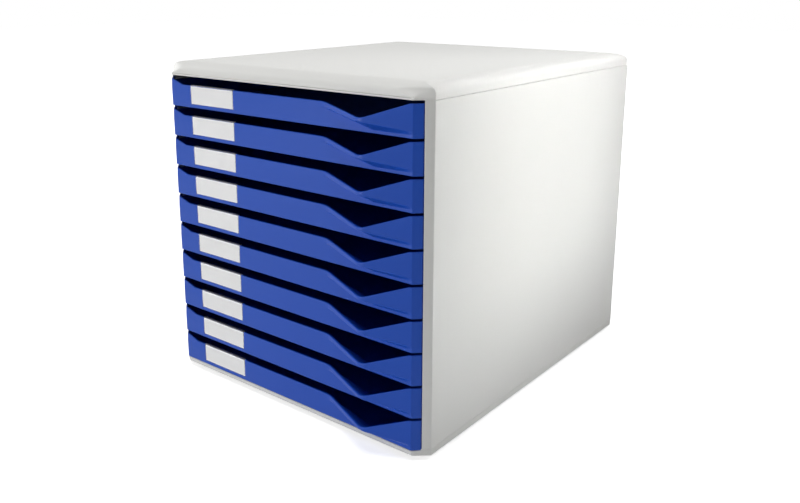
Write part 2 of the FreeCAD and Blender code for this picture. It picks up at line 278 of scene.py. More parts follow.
@dataclass
class Shell:
    """A closed surface: points in millimetres, and faces that point outwards."""

    points: np.ndarray
    quads: np.ndarray
    caps: list[np.ndarray] = field(default_factory=list)

    def volume(self) -> float:
        """Gives the enclosed volume, negative when the faces point inwards.

        It sums the tetrahedra from the first point to each triangle of each face.
        """
        spots = self.points - self.points[0]
        total = 0.0
        for first, second in ((1, 2), (2, 3)):
            corners = [spots[self.quads[:, place]] for place in (0, first, second)]
            total += float(np.einsum("ij,ij->", corners[0], np.cross(corners[1], corners[2])))
        for cap in self.caps:
            rim = spots[cap]
            total += float(np.einsum("j,ij->", rim[0], np.cross(rim[1:-1], rim[2:])))
        return total / 6.0

    def outward(self) -> "Shell":
        """Gives the same surface with all faces pointing outwards."""
        if self.volume() >= 0.0:
            return self
        return Shell(self.points, self.quads[:, ::-1], [cap[::-1] for cap in self.caps])

    def moved(self, offset: tuple[float, float, float]) -> "Shell":
        """Gives a copy moved by an offset in millimetres."""
        return Shell(self.points + np.array(offset), self.quads, self.caps)

    def mirrored(self) -> "Shell":
        """Gives the mirror image across the middle plane, its faces turned to point outwards again."""
        return Shell(self.points * np.array([-1.0, 1.0, 1.0]), self.quads, self.caps).outward()


def skin(rings: np.ndarray) -> Shell:
    """Joins rings of points, carried along a path, into a closed surface.

    Point j of ring i meets point j of ring i + 1, each ring closes on itself, and the first and the last
    ring are filled with one flat face each.

    Args:
        rings: points as an array (ring, point, XYZ).

    Returns:
        The closed surface.
    """
    ring_count, point_count = rings.shape[:2]
    near = np.arange(ring_count * point_count).reshape(ring_count, point_count)
    beside = np.roll(near, -1, axis=1)
    quads = np.stack([near[:-1], beside[:-1], beside[1:], near[1:]], axis=-1).reshape(-1, 4)
    return Shell(rings.reshape(-1, 3), quads, [near[0][::-1], near[-1]]).outward()


def bend(spots: np.ndarray, before: np.ndarray, after: np.ndarray) -> np.ndarray:
    """Replaces each corner c of closed outlines by the curve (1-t)^2 a + 2t(1-t) c + t^2 b.

    The point a lies on the side that comes before the corner and b on the one after it.

    Args:
        spots: the corners as an array (..., corner, 2).
        before: how far a is from each corner.
        after: how far b is from each corner.

    Returns:
        The outlines as an array (..., point, 2).
    """
    following = np.roll(spots, -1, axis=-2) - spots
    room = np.linalg.norm(following, axis=-1)
    heading = following / room[..., None]
    start = spots - np.roll(heading, 1, axis=-2) * before[..., None]
    stop = spots + heading * after[..., None]
    place = np.linspace(0.0, 1.0, CORNER_STEPS + 1)[:, None]
    curve = ((1.0 - place) ** 2 * start[..., None, :] + 2.0 * place * (1.0 - place) * spots[..., None, :]
             + place ** 2 * stop[..., None, :])
    return curve.reshape(*curve.shape[:-3], -1, 2)


def rounded(corners: np.ndarray, radii: np.ndarray | float, inset: np.ndarray | float = 0.0) -> np.ndarray:
    """Draws closed outlines whose corners are rounded, moved inwards by an inset.

    A corner moves along its mitre, c + inset (m + n) / (1 + m.n) with m and n the inward normals of its
    two sides. It is then bent, starting and ending as far from the corner as a tangent arc of its radius.

    Args:
        corners: counter-clockwise outlines as an array (..., corner, 2).
        radii: the radius at each corner, before the inset.
        inset: the distance that each outline moves inwards.

    Returns:
        The outlines as an array (..., point, 2).
    """
    inset = np.asarray(inset)[..., None]
    along = np.roll(corners, -1, axis=-2) - corners
    along = along / np.linalg.norm(along, axis=-1, keepdims=True)
    before = np.roll(along, 1, axis=-2)
    inward = np.stack([-along[..., 1], along[..., 0]], axis=-1)
    turn_cosine = np.einsum("...i,...i->...", before, along)
    turning = (before[..., 0] * along[..., 1] - before[..., 1] * along[..., 0]) / (1.0 + turn_cosine)
    mitre = (inward + np.roll(inward, 1, axis=-2)) / (1.0 + turn_cosine)[..., None]
    spots = corners + inset[..., None] * mitre
    reach = np.maximum(radii - np.sign(turning) * inset, 0.0) * np.abs(turning)
    room = np.linalg.norm(np.roll(spots, -1, axis=-2) - spots, axis=-1)
    limit = LARGEST_SHARE * np.minimum(room, np.roll(room, 1, axis=-1))
    reach = np.minimum(np.maximum(reach, SMALLEST_REACH), limit)
    return bend(spots, reach, reach)


def prism(corners: list[tuple[float, float]] | np.ndarray, radii: list[float] | float, low: float, high: float,
          rounding: float, axis: Axis = Axis.Z) -> Shell:
    """Carries a rounded outline straight from one level to another, with rounded rims at both ends.

    Args:
        corners: the outline's corners, counter-clockwise.
        radii: the radius at each corner.
        low: the level of the first end.
        high: the level of the last end.
        rounding: the radius of the rims.
        axis: the direction in which it is carried.

    Returns:
        The closed surface.
    """
    turn = np.linspace(0.0, math.pi / 2.0, CORNER_STEPS + 1)
    rise = rounding * (1.0 - np.cos(turn))
    inset = rounding * (1.0 - np.sin(turn))
    levels = np.concatenate([low + rise, (high - rise)[::-1]])
    insets = np.concatenate([inset, inset[::-1]])
    stack = np.broadcast_to(np.asarray(corners, float), (len(levels), len(corners), 2))
    flat = rounded(stack, np.asarray(radii, float), insets)
    rings = np.concatenate([flat, np.broadcast_to(levels[:, None, None], (*flat.shape[:2], 1))], axis=-1)
    return skin(rings[..., list(axis.value)])


def block(low: tuple[float, float, float], high: tuple[float, float, float], rounding: float) -> Shell:
    """Makes a box with rounded edges between two corners."""
    outline = [(low[0], low[1]), (high[0], low[1]), (high[0], high[1]), (low[0], high[1])]
    return prism(outline, rounding, low[2], high[2], rounding)


def turned(profile: np.ndarray, centre: tuple[float, float], steps: int = 48) -> Shell:
    """Turns a profile about an upright axis: (r cos a, r sin a, z) for each of its points and each angle.

    Args:
        profile: points (radius, level) from one flat end to the other.
        centre: where the axis stands.
        steps: how many points go round.

    Returns:
        The closed surface.
    """
    angle = np.linspace(0.0, 2.0 * math.pi, steps, endpoint=False)
    radius, level = profile[:, :1], profile[:, 1:]
    rings = np.stack([centre[0] + radius * np.cos(angle), centre[1] + radius * np.sin(angle),
                      np.broadcast_to(level, (len(profile), steps))], axis=-1)
    return skin(rings)


@dataclass(frozen=True)
class Dressing:
    """What a finished piece rides on, which slot and nodes it stands for, and its material."""

    body: str
    slot: Slot
    nodes: tuple[str, ...]
    material: bpy.types.Material


def make_piece(name: str, shells: list[Shell], dressing: Dressing) -> bpy.types.Object:
    """Makes one visible piece of closed surfaces and puts it in its place on the frame.

    Args:
        name: the piece's name.
        shells: its closed surfaces, in millimetres.
        dressing: its body, replaced nodes and material; the slot that it carries is not used.

    Returns:
        The new object.
    """
    starts = np.cumsum([0] + [len(shell.points) for shell in shells])
    points = np.concatenate([shell.points for shell in shells]) * METRE
    faces = [face for start, shell in zip(starts, shells)
             for face in (shell.quads + start).tolist() + [(cap + start).tolist() for cap in shell.caps]]
    mesh = bpy.data.meshes.new(name)
    mesh.from_pydata(points.tolist(), [], faces)
    mesh.validate()
    mesh.shade_smooth()
    mesh.set_sharp_from_angle(angle=SHARP_EDGE)
    mesh.materials.append(dressing.material)
    piece = bpy.data.objects.new(name, mesh)
    bpy.context.collection.objects.link(piece)
    shading = piece.modifiers.new("even_shading", "WEIGHTED_NORMAL")
    shading.keep_sharp = True
    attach(piece, dressing.body)
    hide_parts(*dressing.nodes)
    log.info("%s: %d faces on %s", name, len(mesh.polygons), dressing.body)
    return piece


# Case


@dataclass(frozen=True)
class CaseSizes:
    """The case's outer sizes and levels, which its walls, base and cover share."""

    half_width: float = 145.5
    front: float = -161.0
    rear: float = 176.0
    corner_cut: float = 11.3
    foot_level: float = 4.0
    wall_foot: float = 10.0
    cover_foot: float = 279.3
    top: float = 291.0
    flange_face: float = 139.9
    wall_face: float = 142.5
    panel_face: float = 171.3

    def outline(self) -> np.ndarray:
        """Lists the corners of the case seen from above, counter-clockwise from the right front."""
        side, cut = self.half_width, self.corner_cut
        return np.array([
            (side, self.front + cut), (side, self.rear), (-side, self.rear), (-side, self.front + cut),
            (cut - side, self.front), (side - cut, self.front),
        ])


@dataclass
class TopCover:
    """The lid: a flat top whose edges fall away in a wide soft curve to an upright lip."""

    case: CaseSizes
    rim: float = 8.0
    roof: float = 3.0
    lip: float = 3.6
    edge_side: float = 14.0
    edge_front: float = 18.0
    crest: float = 1.7
    fullness: float = 1.4
    smallest_cut: float = 0.6
    corner_reach: float = 1.03
    rear_reach: float = 3.0
    sweep: float = 9.0
    sweep_low: float = 279.6
    sweep_high: float = 287.0
    groove_level: float = 281.25
    groove_depth: float = 1.1
    lip_rounding: float = 0.35
    steps: int = 20

    def dome_share(self, place: np.ndarray) -> tuple[np.ndarray, np.ndarray]:
        """Works out the edge's curve: a conic from the upright lip to the flat top.

        With the pull p = 2 f t (1-t) and the total (1-t)^2 + p + t^2, the inward share is t^2 / total and
        the height is (p (h - crest) + t^2 h) / total.

        Args:
            place: the parameter t from 0 at the lip to 1 at the top.

        Returns:
            The inward share and the level.
        """
        shoulder = self.case.cover_foot + self.lip
        height = self.case.top - shoulder
        pull = 2.0 * self.fullness * place * (1.0 - place)
        total = (1.0 - place) ** 2 + pull + place ** 2
        level = shoulder + (pull * (height - self.crest) + place ** 2 * height) / total
        return place ** 2 / total, level

    def outer_rings(self) -> np.ndarray:
        """Draws the rings of the lip and the dome.

        Each ring moves in by its share of the edge, and its cut shrinks with (1 - share)^2. Above the lip the front sweeps round into the cut corner:
        the corner between them slides along the front by sweep s (1 - share), where s is the smooth step
        3u^2 - 2u^3 of the height u, and its curve takes up the whole cut. The corner at the side stays crisp.
        A fine groove runs along the front of the lip.
        """
        case = self.case
        share, level = self.dome_share(np.linspace(0.0, 1.0, self.steps + 1))
        groove = self.groove_level + np.array([-0.42, -0.32, 0.32, 0.5])
        levels = np.concatenate([[case.cover_foot + self.lip_rounding], groove, level])
        share = np.concatenate([np.zeros(5), share])
        depth = np.zeros_like(levels)
        depth[2:4] = self.groove_depth
        rise = np.clip((levels - self.sweep_low) / (self.sweep_high - self.sweep_low), 0.0, 1.0)
        rise = rise * rise * (3.0 - 2.0 * rise)
        side = case.half_width - self.edge_side * share
        front = case.front + self.edge_front * share
        rear = case.rear - self.edge_side * share
        cut = np.maximum(case.corner_cut * (1.0 - share) ** 2, self.smallest_cut)
        slide = cut + self.sweep * rise * (1.0 - share)
        across = np.stack([side, side, -side, -side, slide - side, side - slide], axis=-1)
        along = np.stack([front + cut, rear, rear, front + cut, front, front], axis=-1)
        crisp = np.full_like(share, 0.15)
        behind = np.full_like(share, self.rear_reach)
        on_front = self.corner_reach + rise * (6.0 * (1.0 - share) + 1.2 * share)
        on_cut = self.corner_reach * (1.0 - rise) + 0.9 * np.hypot(slide, cut) * rise
        before = np.stack([crisp, behind, behind, crisp, on_cut, on_front], axis=-1)
        after = np.stack([crisp, behind, behind, crisp, on_front, on_cut], axis=-1)
        flat = bend(np.stack([across, along], axis=-1), before, after)
        on_lip = np.clip(case.half_width - case.corner_cut + 0.2 - np.abs(flat[..., 0]), 0.0, 1.0)
        flat[..., 1] += depth[:, None] * on_lip * (flat[..., 1] < case.front + 1.0)
        return np.concatenate([flat, np.broadcast_to(levels[:, None, None], (*flat.shape[:2], 1))], axis=-1)

    def skirt_rings(self) -> np.ndarray:
        """Draws the rings below the lip: from the roof inside, down the rim and round the lip's foot."""
        case = self.case
        side = case.half_width - self.rim
        cut = 2.0
        inner = np.array([
            (side, case.front + self.rim + cut), (side, case.rear - self.rim), (-side, case.rear - self.rim),
            (-side, case.front + self.rim + cut), (cut - side, case.front + self.rim),
            (side - cut, case.front + self.rim),
        ])
        turn = np.linspace(0.0, math.pi / 2.0, CORNER_STEPS + 1)[:-1]
        inside = rounded(np.broadcast_to(inner, (3, 6, 2)), 1.0, np.array([0.0, 0.0, -self.lip_rounding]))
        inside_levels = np.array([case.top - self.roof, case.cover_foot + self.lip_rounding, case.cover_foot])
        radii = np.array([0.4, 3.0, 3.0, 0.4, 2.5, 2.5])
        insets = self.lip_rounding * (1.0 - np.sin(turn))
        outside = rounded(np.broadcast_to(case.outline(), (len(turn), 6, 2)), radii, insets)
        outside_levels = case.cover_foot + self.lip_rounding * (1.0 - np.cos(turn))
        flat = np.concatenate([inside, outside])
        levels = np.concatenate([inside_levels, outside_levels])
        return np.concatenate([flat, np.broadcast_to(levels[:, None, None], (*flat.shape[:2], 1))], axis=-1)

    def build(self, material: bpy.types.Material) -> None:
        """Builds the lid and its two locating ribs.

        Args:
            material: the case's plastic.
        """
        lid = skin(np.concatenate([self.skirt_rings(), self.outer_rings()]))
        rib = block((140.7, -140.8, self.case.cover_foot - 3.0), (142.3, 171.1, self.case.cover_foot + 0.5), 0.3)
        make_piece("cover_moulding", [lid, rib, rib.mirrored()],
                   Dressing("case", Slot.CASE, ("top_cover",), material))


@dataclass
class SideWalls:
    """The two side walls: each has a cut front flange, nine drawer ledges and a groove for the rear panel."""

    case: CaseSizes
    flange_width: float = 5.6
    flange_rear: float = -141.0
    rear_lip: float = 2.0
    groove: float = 1.2
    ledge_reach: float = 9.0
    ledge_thickness: float = 2.0
    first_ledge: float = 37.0
    pitch: float = 27.0
    rounding: float = 0.3
    seam: float = 0.4

    def wall(self) -> Shell:
        """Carries the wall's plan from the base up to the cover, and leaves a fine gap under the cover's side."""
        case = self.case
        plan = [
            (case.half_width, case.front + case.corner_cut), (case.half_width, case.rear),
            (case.wall_face, case.rear), (case.wall_face, case.rear - self.rear_lip),
            (case.wall_face + self.groove, case.rear - self.rear_lip),
            (case.wall_face + self.groove, case.panel_face), (case.wall_face, case.panel_face),
            (case.wall_face, self.flange_rear), (case.flange_face, self.flange_rear),
            (case.flange_face, case.front + case.corner_cut - self.flange_width),
        ]
        radii = [1.6, 0.6, 0.4, 0.2, 0.2, 0.2, 0.2, 1.0, 0.6, 0.5]
        wall = prism(plan, radii, case.wall_foot, case.cover_foot, self.rounding)
        points = wall.points
        beside = (points[:, 1] > case.front + case.corner_cut) & (points[:, 2] > case.cover_foot - 2.0)
        points[:, 2] -= self.seam * beside
        return wall

    def ledges(self) -> list[Shell]:
        """Makes the nine ledges that carry the upper drawers."""
        case = self.case
        low = (case.wall_face - self.ledge_reach, self.flange_rear - 0.5, self.first_ledge - self.ledge_thickness)
        high = (case.wall_face + self.groove / 2.0, case.panel_face - 0.05, self.first_ledge)
        ledge = block(low, high, 0.3)
        return [ledge.moved((0.0, 0.0, row * self.pitch)) for row in range(DRAWER_COUNT - 1)]

    def build(self, material: bpy.types.Material) -> None:
        """Builds both walls, the left one as the mirror image of the right one.

        Args:
            material: the case's plastic.
        """
        right = [self.wall()] + self.ledges()
        make_piece("right_wall_moulding", right, Dressing("case", Slot.CASE, ("right_side_wall",), material))
        make_piece("left_wall_moulding", [shell.mirrored() for shell in right],
                   Dressing("case", Slot.CASE, ("left_side_wall",), material))


@dataclass
class BaseTray:
    """The base: a shallow tray whose front rim is a step lower, to clear the lowest drawer front."""

    case: CaseSizes
    floor: float = 7.0
    lip_drop: float = 1.0
    hollow_inset: float = 12.0
    foot_rounding: float = 0.6
    side_rim: float = 0.8
    front_rim: float = 0.7
    undercut: float = 1.2

    def corners(self, inset: float) -> np.ndarray:
        """Lists the corners of the base, with two extra ones on each cut where the rim steps down.

        Args:
            inset: how far the sides lie inside the case; the front lies half as far inside.

        Returns:
            The corners, counter-clockwise from the right front.
        """
        case = self.case
        side = case.half_width - inset
        corner = np.array([side, case.front + case.corner_cut])
        tip = np.array([case.half_width - case.corner_cut - inset / 2.0, case.front + inset / 2.0])
        high_end, low_end = tip + (corner - tip) * 0.515, tip + (corner - tip) * 0.495
        mirror = np.array([-1.0, 1.0])
        return np.array([
            corner, (side, case.rear - inset), (-side, case.rear - inset), corner * mirror,
            high_end * mirror, low_end * mirror, tip * mirror, tip, low_end, high_end,
        ])

    def rim_level(self, flat: np.ndarray) -> np.ndarray:
        """Gives the rim's level at points of a ring: a step lower at the front between the flanges."""
        case = self.case
        lowered = (np.abs(flat[..., 0]) < case.flange_face) & (flat[..., 1] < case.front + case.corner_cut)
        return case.wall_foot - self.lip_drop * lowered

    def build(self, material: bpy.types.Material) -> None:
        """Builds the base from the hollow's floor over the rim to its underside, and its two locating ribs.

        Args:
            material: the case's plastic.
        """
        turn = np.linspace(0.0, math.pi / 2.0, CORNER_STEPS + 1)
        hollow = rounded(np.broadcast_to(self.corners(self.hollow_inset), (3, 10, 2)), 1.0,
                         np.array([0.0, 0.0, -0.3]))
        hollow_levels = np.stack([np.full(hollow.shape[1], self.floor), self.rim_level(hollow[1]) - 0.3,
                                  self.rim_level(hollow[2])])
        radii = np.array([1.6, 1.5, 1.5, 1.6, 0.2, 0.2, 1.6, 1.6, 0.2, 0.2])
        steps = len(turn)
        outer = rounded(np.broadcast_to(self.corners(0.0), (2 * steps, 10, 2)), radii,
                        np.concatenate([np.zeros(steps), self.foot_rounding * (1.0 - np.cos(turn))]))
        ahead = np.clip((self.case.front + self.case.corner_cut - outer[..., 1]) / self.case.corner_cut, 0.0, 1.0)
        rim = self.side_rim + (self.front_rim - self.side_rim) * np.minimum(3.0 * ahead[0], 1.0)
        inward = rounded(np.broadcast_to(self.corners(0.0), (steps, 10, 2)), radii, np.ones(steps)) - outer[0]
        outer[:steps] += inward * (rim * (1.0 - np.sin(turn))[:, None])[..., None]
        outer[steps:, :, 1] += self.undercut * ahead[steps:]
        rim_levels = self.rim_level(outer[steps - 1]) - rim * (1.0 - np.cos(turn))[:, None]
        foot = self.case.foot_level + self.foot_rounding * (1.0 - np.sin(turn))[:, None] + 0.0 * rim_levels
        levels = np.concatenate([hollow_levels, rim_levels, foot])
        rings = np.concatenate([np.concatenate([hollow, outer]), levels[..., None]], axis=-1)
        rib = block((140.7, -140.8, self.case.wall_foot - 0.5), (142.3, 171.1, self.case.wall_foot + 3.0), 0.3)
        make_piece("base_moulding", [skin(rings), rib, rib.mirrored()],
                   Dressing("case", Slot.CASE, ("base_tray",), material))


@dataclass
class RubberFeet:
    """Four rubber feet: low discs with a soft lower rim and a shallow ring in their tread."""

    case: CaseSizes
    inset: float = 24.0
    radius: float = 7.0
    rounding: float = 0.8

    def build(self, material: bpy.types.Material) -> None:
        """Builds the four feet as one piece.

        Args:
            material: the rubber.
        """
        turn = np.linspace(0.0, math.pi / 2.0, CORNER_STEPS + 1)
        tread = [(2.2, 0.5), (2.6, 0.15), (3.0, 0.0), (5.4, 0.0)]
        rim = np.stack([self.radius - self.rounding * (1.0 - np.sin(turn)),
                        self.rounding * (1.0 - np.cos(turn))], axis=-1)
        profile = np.concatenate([tread, rim, [(self.radius, 3.9), (self.radius - 0.2, 4.15)]])
        across = self.case.half_width - self.inset
        spots = [(x, y) for x in (-across, across)
                 for y in (self.case.front + self.inset, self.case.rear - self.inset)]
        make_piece("rubber_feet_moulding", [turned(profile, spot) for spot in spots],
                   Dressing("case", Slot.FOOT, ("rubber_feet",), material))


# Drawers


@dataclass
class DrawerFront:
    """The bent wall of a drawer front: raised ends, a lowered middle, a label recess and a finger grip."""

    front: float = -161.0
    end: float = 139.5
    corner: float = 134.2
    corner_reach: float = 0.7
    wall: float = 2.2
    height: float = 24.8
    middle: float = 19.1
    hem: float = 2.9
    horn_head: float = -137.2
    horn_foot: float = -119.7
    horn_radius: float = 8.0
    grip_start: float = 50.5
    grip_peak: float = 96.4
    grip_reach: float = 15.0
    grip_radius: float = 12.0
    notch_start: float = 48.0
    notch_place: float = 97.5
    notch_floor: float = 12.7
    notch_radius: float = 20.0
    brow_radius: float = 40.0
    ramp_head: float = 132.2
    ramp_radius: float = 3.0
    crease_low: float = 10.7
    crease_left: float = 15.7
    crease_right: float = 4.8
    toe_gap: float = 1.6
    toe_end: float = 99.0
    toe_power: float = 1.6
    label_left: float = -108.5
    label_right: float = -53.5
    label_foot: float = 3.0
    recess_depth: float = 1.4
    end_rounding: float = 0.45
    crown_height: float = 8.0
    crown_lean: float = 0.45
    radii: tuple[float, ...] = (0.5, 1.2, 0.6, 60.0, 0.7, 0.6, 0.9, 0.9, 0.4)

    def open_curve(self, corners: list[tuple[float, float]], radii: list[float]) -> np.ndarray:
        """Draws an open line with rounded corners by closing it far away.

        Args:
            corners: the line's corners from left to right.
            radii: the radius at each corner.

        Returns:
            Its points (x, value) from left to right.
        """
        far = [(1000.0, -1000.0), (-1000.0, -1000.0)]
        closed = np.array((far + corners)[::-1])
        points = rounded(closed, np.array(([0.0, 0.0] + radii)[::-1]))
        inside = points[np.abs(points[:, 0]) < 500.0]
        return inside[np.argsort(inside[:, 0], kind="stable")]

    def top_line(self) -> np.ndarray:
        """Draws the front's upper edge: level, down to the middle, down to the notch and up to the end."""
        corners = [(-200.0, self.height), (self.horn_head, self.height), (self.horn_foot, self.middle),
                   (self.notch_start, self.middle), (self.notch_place, self.notch_floor),
                   (self.ramp_head, self.height), (200.0, self.height)]
        radii = [0.0, 2.0, self.horn_radius, self.brow_radius, self.notch_radius, self.ramp_radius, 0.0]
        return self.open_curve(corners, radii)

    def grip_line(self) -> np.ndarray:
        """Draws how far the upright band stands out: two straight flanks that touch a round tip."""
        depth = self.grip_reach - self.grip_radius
        near, far = self.grip_start - self.grip_peak, self.corner - self.grip_peak
        left = math.atan2(-depth, near) + 2.0 * math.pi - math.acos(self.grip_radius / math.hypot(near, depth))
        right = math.atan2(-depth, far) + math.acos(self.grip_radius / math.hypot(far, depth))
        turn = np.linspace(left, right, 33)
        tip = np.stack([self.grip_peak + self.grip_radius * np.cos(turn),
                        depth + self.grip_radius * np.sin(turn)], axis=-1)
        return tip

    def toe_line(self, across: np.ndarray, crease: np.ndarray) -> np.ndarray:
        """Draws the toe, where the slope under the upright band leaves the flat front.

        At the grip's start it lies close under the crease. Along the left flank the gap between them grows
        as g + (h - g) u^p, with u from 0 to 1, until the toe reaches the hem.

        Args:
            across: the place x of each section.
            crease: the crease's level there.

        Returns:
            The toe's level there.
        """
        flank = np.linspace(0.0, 1.0, 20)
        places = self.grip_start + (self.toe_end - self.grip_start) * flank
        gaps = self.toe_gap + (self.crease_low - self.hem - self.toe_gap) * flank ** self.toe_power
        level_part = ([-self.end, self.label_right + 20.0], [self.label_foot - self.hem] * 2)
        gap = np.interp(across, np.concatenate([level_part[0], places]), np.concatenate([level_part[1], gaps]))
        return np.where(across < self.toe_end, np.maximum(crease - gap, self.hem), self.hem)

    def stations(self) -> dict[str, np.ndarray]:
        """Lists the front's cross-sections from left to right.

        Returns:
            For each section its place x, how far its ends are rounded in, the outward reach of its foot and
            of its upright band, the levels of the toe and the crease between them, and its top.
        """
        drop = self.end - self.corner
        recess = self.recess_depth
        left, right = self.label_left, self.label_right
        top = self.top_line()
        foot = self.open_curve([(-self.end - 20.0, -drop - 20.0), (-self.corner, 0.0), (self.corner, 0.0),
                                (self.end + 20.0, -drop - 20.0)], [0.0, 1.7, 1.7, 0.0])
        tip = self.grip_line()
        lip = np.concatenate([
            foot[foot[:, 0] < 0.0],
            [(left - 0.3, 0.0), (left - 0.1, -0.07), (left, -0.3), (left + 0.04, -recess),
             (right - 0.04, -recess), (right, -0.3), (right + 0.1, -0.07), (right + 0.3, 0.0),
             (self.grip_start - 6.0, 0.0), (self.grip_start - 3.0, 0.1), (self.grip_start, 0.35),
             (self.grip_start + 3.0, tip[0, 1] * 3.0 / (tip[0, 0] - self.grip_start) + 0.1)],
            tip, [(self.corner, 0.0)], foot[foot[:, 0] > self.corner + 0.8],
        ])
        crease = np.array([(-self.end, self.label_foot), (self.label_right + 20.0, self.label_foot)])
        flank = np.linspace(0.0, 1.0, 20)
        rise = np.stack([self.grip_start + (self.grip_peak - self.grip_start) * flank,
                         self.crease_low + (self.crease_left - self.crease_low) * (1.0 - flank) ** 1.5], axis=-1)
        crease = np.concatenate([crease, rise, [(self.corner, self.crease_right), (200.0, self.crease_right)]])
        across = np.unique(np.round(np.concatenate([
            top[:, 0], foot[:, 0], lip[:, 0], crease[:, 0], np.linspace(-self.end, self.end, 47),
        ]), 3))
        across = across[np.abs(across) <= self.end]
        rounding = self.end_rounding
        turn = np.linspace(0.0, math.pi / 2.0, CORNER_STEPS + 1)
        across = across[np.abs(across) < self.end - rounding]
        ends = self.end - rounding * (1.0 - np.sin(turn))
        inset = rounding * (1.0 - np.cos(turn))
        across = np.concatenate([-ends[::-1], across, ends])
        inset = np.concatenate([inset[::-1], np.zeros(len(across) - 2 * len(ends)), inset])
        crease_level = np.interp(across, crease[:, 0], crease[:, 1])
        return {
            "x": across, "inset": inset,
            "foot": np.interp(across, foot[:, 0], foot[:, 1]),
            "lip": np.interp(across, lip[:, 0], lip[:, 1]),
            "toe": self.toe_line(across, crease_level),
            "crease": crease_level,
            "top": np.interp(across, top[:, 0], top[:, 1]),
        }

    def build(self) -> Shell:
        """Carries the wall's cross-section from one end of the front to the other.

        The section has nine corners: up to the toe, out to the crease, up the band, which leans back a little
        near its top, over the top edge, and down the inner face, which runs parallel to the outer one at the
        wall's thickness.

        Returns:
            The closed surface, with the drawer's bottom at level 0.
        """
        at = self.stations()
        slant = np.where(np.abs(at["x"]) > self.corner, math.sqrt(2.0), 1.0)
        wall = self.wall * slant
        foot, lip = -at["foot"], -at["lip"]
        in_recess = (at["x"] > self.label_left - 1.0) & (at["x"] < self.label_right + 1.0)
        inner_lip = np.where(in_recess, 0.0, lip) + wall
        inner_foot = foot + wall
        shift = self.wall * np.tan(np.arctan2(np.maximum(foot - lip, 0.0), at["crease"] - at["toe"]) / 2.0)
        level = np.zeros_like(foot)
        bow = np.maximum(at["top"] - self.crown_height, 0.5 * (at["crease"] + at["top"]))
        lean = self.crown_lean * (at["top"] - bow) / self.crown_height
        corners = np.stack([
            np.stack([foot, level], axis=-1),
            np.stack([foot, at["toe"]], axis=-1),
            np.stack([lip, at["crease"]], axis=-1),
            np.stack([lip, bow], axis=-1),
            np.stack([lip + lean, at["top"]], axis=-1),
            np.stack([inner_lip, at["top"]], axis=-1),
            np.stack([inner_lip, at["crease"] + shift + 0.2], axis=-1),
            np.stack([inner_foot, at["toe"] + shift], axis=-1),
            np.stack([inner_foot, level], axis=-1),
        ], axis=1)[:, ::-1]
        flat = rounded(corners, np.array(self.radii[::-1]), at["inset"])
        across = np.broadcast_to(at["x"][:, None, None], (*flat.shape[:2], 1))
        rings = np.concatenate([across, flat], axis=-1)
        rings[..., 1] += self.front
        return skin(rings)


@dataclass
class Tray:
    """The tray behind the front: three thin walls, a floor and two stop tabs."""

    front: float = -161.0
    side: float = 138.6
    rear: float = 171.0
    wall: float = 1.8
    lift: float = 1.0
    top: float = 22.0
    corner: float = 134.2

    def shells(self) -> list[Shell]:
        """Builds the walls, the floor and the tabs, with the drawer's bottom at level 0.

        Returns:
            The closed surfaces.
        """
        side, wall = self.side, self.wall
        start = self.front + 6.4
        inner = side - wall
        walls = [(side, start), (side, self.rear), (-side, self.rear), (-side, start), (-inner, start),
                 (-inner, self.rear - wall), (inner, self.rear - wall), (inner, start)]
        radii = [0.3, 4.0, 4.0, 0.3, 0.3, 2.2, 2.2, 0.3]
        middle = self.front + 1.1
        plate = [(side, middle + side - self.corner), (side, self.rear), (-side, self.rear),
                 (-side, middle + side - self.corner), (-self.corner, middle), (self.corner, middle)]
        tab = block((side - wall / 2.0, 101.0, 6.0), (141.9, 107.0, 16.0), 0.3)
        return [prism(walls, radii, self.lift + 0.4, self.top, 0.45),
                prism(plate, [1.0, 4.0, 4.0, 1.0, 1.0, 1.0], self.lift, self.lift + wall, 0.3),
                tab, tab.mirrored()]


@dataclass
class LabelHolder:
    """A white card in the front's recess, behind a clear clip that hooks over the front's upper edge."""

    front: float = -161.0
    left: float = -108.5
    right: float = -53.5
    foot: float = 3.0
    middle: float = 19.1
    window: float = 0.9
    ledge: float = 0.8
    hook: float = 5.0
    back: float = 1.0
    wall: float = 2.2
    gap: float = 0.1
    side_gap: float = 0.35
    card: float = 0.4
    margin: float = 0.3
    top_margin: float = 0.7
    side_margin: float = 0.55
    brow: float = 1.5

    def clip(self) -> Shell:
        """Carries the clip's hooked section along its width."""
        face, top = self.front, self.middle + self.ledge
        behind = face + self.wall + self.back
        section = [
            (face, self.foot + self.gap), (face + self.window, self.foot + self.gap),
            (face + self.window, self.middle), (face + self.wall, self.middle),
            (face + self.wall, self.middle - self.hook), (behind, self.middle - self.hook),
            (behind, top), (face, top),
        ]
        return prism(section, [0.25, 0.1, 0.15, 0.15, 0.2, 0.2, 0.5, self.brow], self.left + self.side_gap,
                     self.right - self.side_gap, 0.2, Axis.X)

    def paper(self) -> Shell:
        """Makes the card."""
        low = (self.left + self.side_margin, self.front + self.window, self.foot + self.margin)
        high = (self.right - self.side_margin, self.front + self.window + self.card, self.middle - self.top_margin)
        return block(low, high, 0.1)


